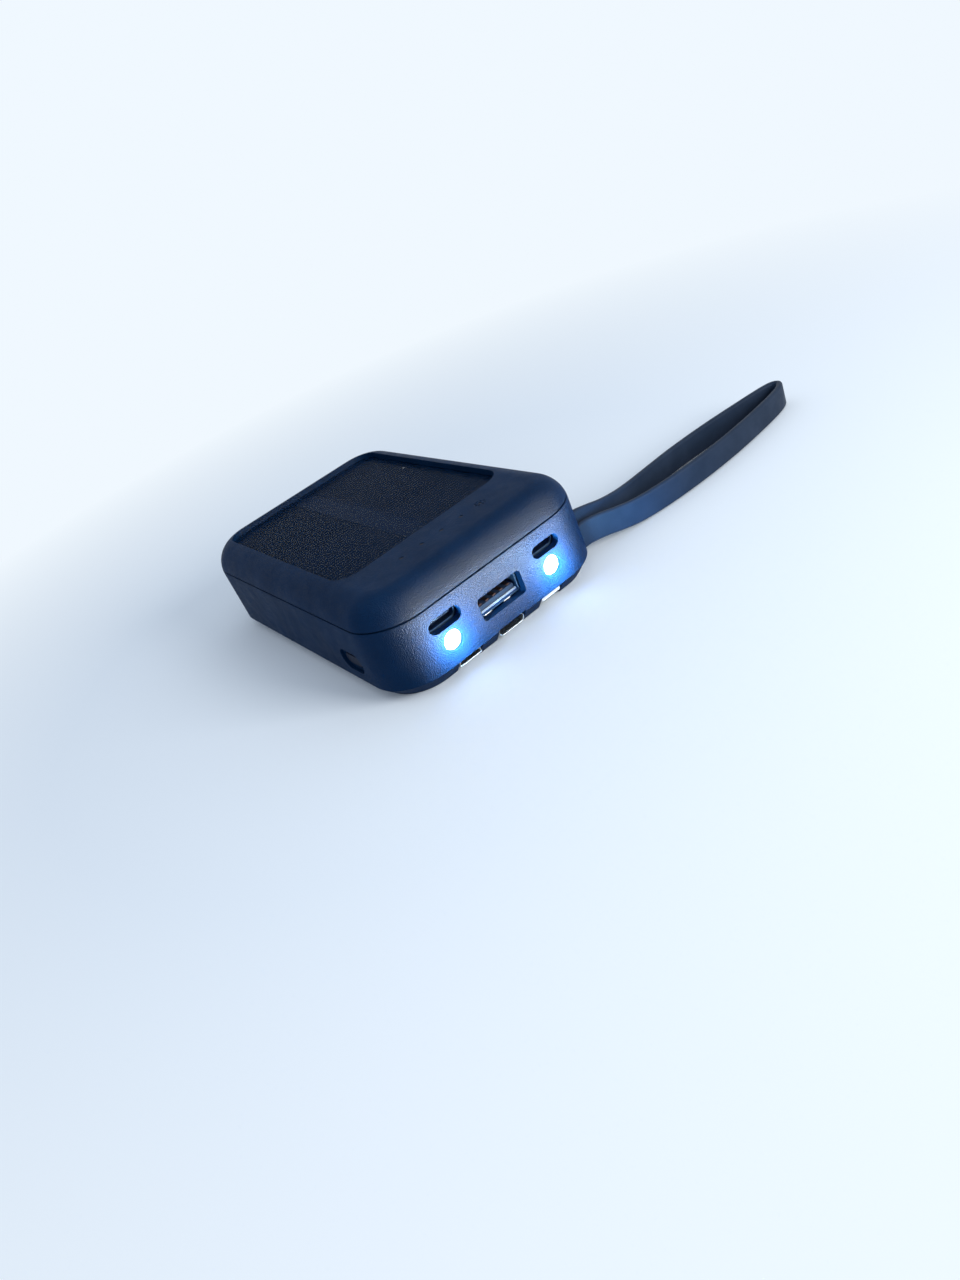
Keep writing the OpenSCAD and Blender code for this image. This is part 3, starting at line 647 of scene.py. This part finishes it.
shell = moulded("shell_plastic", NAVY_DARK, NAVY_LIGHT, 0.42, 3600, 0.00018)
button_plastic = moulded("button_plastic", (0.006, 0.010, 0.026), (0.008, 0.014, 0.034), 0.3,
                         5200, 0.00002)
cable_rubber = rubber("cable_rubber", (0.006, 0.014, 0.040), (0.009, 0.020, 0.052), 0.5)
grip_rubber = rubber("grip_rubber", (0.005, 0.012, 0.034), (0.008, 0.017, 0.044), 0.42)
strap_rubber = rubber("strap_rubber", (0.0125, 0.0225, 0.043), (0.0190, 0.0310, 0.056), 0.5)
board_laminate = solid("board_laminate", (0.004, 0.020, 0.040), 0.35)
dark_plastic = solid("dark_plastic", (0.012, 0.013, 0.016), 0.5)
tongue_plastic = solid("tongue_plastic", (0.030, 0.048, 0.085), 0.4)
# Pale plastic for the tongue's front strip: a painted highlight, not a second plastic.
tongue_highlight_paint = solid("tongue_highlight_paint", (0.36, 0.40, 0.46), 0.4)
foam = solid("foam_sheet", (0.05, 0.05, 0.055), 0.9, variation=0.5, scale=2600)
wire_sleeve = solid("wire_sleeve", (0.30, 0.02, 0.015), 0.4)
# The clear light guides are coloured near black: painted shade of the dark inside seen through them.
shaded_light_guide = solid("shaded_light_guide", (0.004, 0.007, 0.016), 0.3, specular=0.1)
adhesive = solid("adhesive_sheet", (0.5, 0.47, 0.38), 0.6)
white_plastic = solid("white_plastic", (0.80, 0.81, 0.82), 0.28, variation=0.93)
component = solid("component_body", (0.55, 0.54, 0.5), 0.4)
gold = metal("contact_gold", (0.85, 0.60, 0.33), 0.25, (1, 1, 6))
dull_gold = metal("dull_gold", (0.34, 0.20, 0.16), 0.38, (1, 6, 1))
steel = metal("plated_steel", (0.74, 0.75, 0.77), 0.24, (6, 1, 1))
# Socket shells: steel darkened and tinted blue, which is painted shade and painted blue lamp light
# inside the sockets.
shaded_socket_steel = metal("shaded_socket_steel", (0.085, 0.155, 0.28), 0.42, (6, 1, 1))
foil = metal("battery_foil", (0.62, 0.64, 0.67), 0.35, (1, 5, 1))
copper = metal("copper_winding", (0.62, 0.27, 0.12), 0.3, (1, 1, 8))
liner_blue = solid("liner_blue", (0.012, 0.075, 0.36), 0.35)
finger_ink = metal("finger_ink", (0.035, 0.055, 0.10), 0.45, (8, 1, 1))
lamp_lit = glowing("lamp_lit", (0.93, 0.97, 1.0), 9.0)


def cell_surface():
    """Dark blue silicon: fine crystals and a faint sparkle under the cover."""
    s = Surface("silicon_cell", (0.004, 0.010, 0.030), 0.35, specular=0.02)
    cells = s.node("ShaderNodeTexVoronoi")
    cells.inputs["Scale"].default_value = 700
    s.link(s.coords, cells.inputs["Vector"])
    s.tint(cells.outputs["Distance"], ((0.0030, 0.011, 0.038), (0.0050, 0.017, 0.052)), (0.1, 0.8))
    s.rough(s.noise(2600, 3), 0.3, 0.5)
    s.bump(s.noise(4200, 3), 0.35, 0.00002)
    return s


def cover_surface():
    """Clear hard-coated sheet with a fine satin grain."""
    s = Surface("panel_cover", (0.003, 0.016, 0.048), 0.34, specular=0.02, alpha=0.35)
    s.rough(s.noise(700, 3), 0.26, 0.38)
    s.bump(s.noise(5200, 2), 0.35, 0.00002)
    return s


cell = cell_surface()
cover = cover_surface()

SURFACES = {
    shell: ["upper_shell", "lower_shell"],
    adhesive: ["panel_adhesive"],
    board_laminate: ["circuit_board"],
    cell: ["solar_cells", "panel_backboard"],
    cover: ["panel_cover"],
    wire_sleeve: ["solar_leads", "battery_leads"],
    shaded_light_guide: ["indicator_light_guide"],
    dark_plastic: ["indicator_shroud", "controller_chips", "micro_plug_core",
                   "type_c_plug_core", "lanyard_anchor", "button_switch"],
    component: ["indicator_leds", "torch_lamp_bases"],
    steel: ["board_screws", "micro_plug_shell", "type_c_plug_shell"],
    shaded_socket_steel: ["usb_a_shell", "type_c_socket_shell", "micro_socket_shell"],
    copper: ["power_inductor"],
    tongue_plastic: ["usb_a_tongue", "type_c_socket_tongue", "micro_socket_tongue"],
    dull_gold: ["usb_a_contacts"],
    lamp_lit: ["torch_lamp_left", "torch_lamp_right"],
    button_plastic: ["power_button"],
    foil: ["battery_cell_lower", "battery_cell_upper"],
    foam: ["battery_foam"],
    cable_rubber: ["micro_cable_root", "type_c_cable_root", "blade_cable_root",
                   "micro_cable_lead", "type_c_cable_lead", "blade_cable_lead"],
    grip_rubber: ["micro_plug_grip", "type_c_plug_grip", "blade_plug_grip"],
    strap_rubber: ["lanyard_strap"],
    white_plastic: ["blade_plug_tab"],
}


def paint(piece, surface):
    """Gives every slot of a piece the same material."""
    if not piece.data.materials:
        piece.data.materials.append(surface.material)
    for k in range(len(piece.data.materials)):
        piece.data.materials[k] = surface.material


for surface, names in SURFACES.items():
    for name in names:
        paint(NODES[name], surface)
paint(strap, strap_rubber)
for piece in cables:
    paint(piece, cable_rubber)
for piece in grips:
    paint(piece, grip_rubber)
for piece in [micro_plug, type_c_plug, solder_dot, *usb_springs]:
    paint(piece, steel)
for piece in blade_contacts:
    paint(piece, gold)
paint(blade_plug, white_plastic)
paint(fingers, finger_ink)
paint(usb_liner, liner_blue)
paint(usb_tongue_highlight, tongue_highlight_paint)


# ---- Floor, light and background ----------------------------------------------

BACKGROUND = (0.871, 0.939, 1.0)
FLOOR_REACH = 20
FLOOR_LEVEL = -0.0002
FADE_START, FADE_END = 0.11, 0.30   # metres from the object's middle
WORLD_STRENGTH = 0.72


def seen_rays(tree, path):
    """1 for the rays that show the background: camera, mirror and glass."""
    value = path.outputs["Is Camera Ray"]
    for ray in ("Is Glossy Ray", "Is Transmission Ray"):
        either = tree.nodes.new("ShaderNodeMath")
        either.operation = "MAXIMUM"
        tree.links.new(value, either.inputs[0])
        tree.links.new(path.outputs[ray], either.inputs[1])
        value = either.outputs["Value"]
    return value


def make_floor():
    """A pale floor that fades into the background colour away from the object."""
    corners = [(-1, -1), (1, -1), (1, 1), (-1, 1)]
    floor = new_mesh("floor", [(FLOOR_REACH * x, FLOOR_REACH * y, FLOOR_LEVEL) for x, y in corners],
                     [(0, 1, 2, 3)])
    s = Surface("floor", (0.85, 0.915, 0.97), 0.9, specular=0.05)
    away = s.node("ShaderNodeVectorMath", operation="LENGTH")
    s.link(s.coords, away.inputs[0])
    fade = s.spread(away.outputs["Value"], 0.0, 1.0, FADE_START, FADE_END)
    far_light = s.node("ShaderNodeEmission")
    far_light.inputs["Color"].default_value = (*BACKGROUND, 1)
    path = s.node("ShaderNodeLightPath")
    seen = seen_rays(s.tree, path)
    share = s.node("ShaderNodeMath", operation="MULTIPLY")
    s.link(fade, share.inputs[0])
    s.link(seen, share.inputs[1])
    mix = s.node("ShaderNodeMixShader")
    s.link(share.outputs["Value"], mix.inputs["Fac"])
    s.link(s.shader.outputs["BSDF"], mix.inputs[1])
    s.link(far_light.outputs["Emission"], mix.inputs[2])
    s.link(mix.outputs["Shader"], s.tree.nodes["Material Output"].inputs["Surface"])
    paint(floor, s)
    floor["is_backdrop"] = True


def make_world():
    """Soft neutral light, with the background colour behind it in every direct view."""
    world = bpy.data.worlds.new("studio")
    bpy.context.scene.world = world
    world.use_nodes = True
    tree = world.node_tree
    link = tree.links.new
    lit = tree.nodes["Background"]
    lit.inputs["Color"].default_value = (0.80, 0.88, 1.0, 1)
    lit.inputs["Strength"].default_value = WORLD_STRENGTH
    shown = tree.nodes.new("ShaderNodeBackground")
    shown.inputs["Color"].default_value = (*BACKGROUND, 1)
    choose = tree.nodes.new("ShaderNodeMixShader")
    link(seen_rays(tree, tree.nodes.new("ShaderNodeLightPath")), choose.inputs["Fac"])
    link(lit.outputs["Background"], choose.inputs[1])
    link(shown.outputs["Background"], choose.inputs[2])
    link(choose.outputs["Shader"], tree.nodes["World Output"].inputs["Surface"])


def area_light(name, place, target, width, height, power, color=(1, 1, 1)):
    """A soft box at place that faces target."""
    light = bpy.data.lights.new(name, "AREA")
    light.shape = "RECTANGLE"
    light.size = width
    light.size_y = height
    light.energy = power
    light.color = color
    made = bpy.data.objects.new(name, light)
    bpy.context.scene.collection.objects.link(made)
    made.location = place
    made.rotation_euler = (Vector(target) - Vector(place)).to_track_quat("-Z", "Y").to_euler()
    return made


def lamp_glow(name, place, power, radius, color=(0.22, 0.55, 1.0)):
    """The bluish light that the lit lamps throw on the object, and on nothing else."""
    light = bpy.data.lights.new(name, "POINT")
    light.shadow_soft_size = radius
    light.energy = power
    light.color = color
    made = bpy.data.objects.new(name, light)
    bpy.context.scene.collection.objects.link(made)
    made.location = place
    made.visible_camera = False
    made.light_linking.receiver_collection = object_only


make_floor()
make_world()
object_only = bpy.data.collections.new("object_only")
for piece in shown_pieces():
    object_only.objects.link(piece)
shell_only = bpy.data.collections.new("shell_only")
for name in ("upper_shell", "lower_shell"):
    shell_only.objects.link(NODES[name])

area_light("key", (0.20, -0.50, 0.22), (0.0, -0.03, 0.02), 0.24, 0.24, 2.2)
# Two panels that only show as highlights on the shells: one above the port end, for its
# upper edge, and one lying on the floor in front, which the port face mirrors.
for name, place, target, width, height, power in [
        ("glint_high", (0.185, -0.40, 0.26), (0.0, -0.05, 0.02), 0.14, 0.18, 36),
        ("glint_low", (0.010, -0.091, 0.001), (0.010, -0.0911, 1.0), 0.082, 0.042, 3.4)]:
    glint = area_light(name, place, target, width, height, power, (1.0, 1.0, 0.90))
    glint.visible_diffuse = False
    glint.visible_camera = False
    glint.light_linking.receiver_collection = shell_only
for name in ("torch_lamp_left", "torch_lamp_right"):
    low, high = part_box(name)
    centre = (low + high) / 2
    lamp_glow(name + "_glow", (centre.x, low.y - 0.004, centre.z), 0.060, 0.0015,
              (0.42, 0.76, 1.0))
lamp_glow("torch_spill", (0.002, -0.085, 0.004), 0.012, 0.01)
lamp_glow("strap_spill", (0.046, -0.064, 0.006), 0.022, 0.006, (0.08, 0.48, 1.0))

bpy.context.scene.view_settings.view_transform = "Standard"
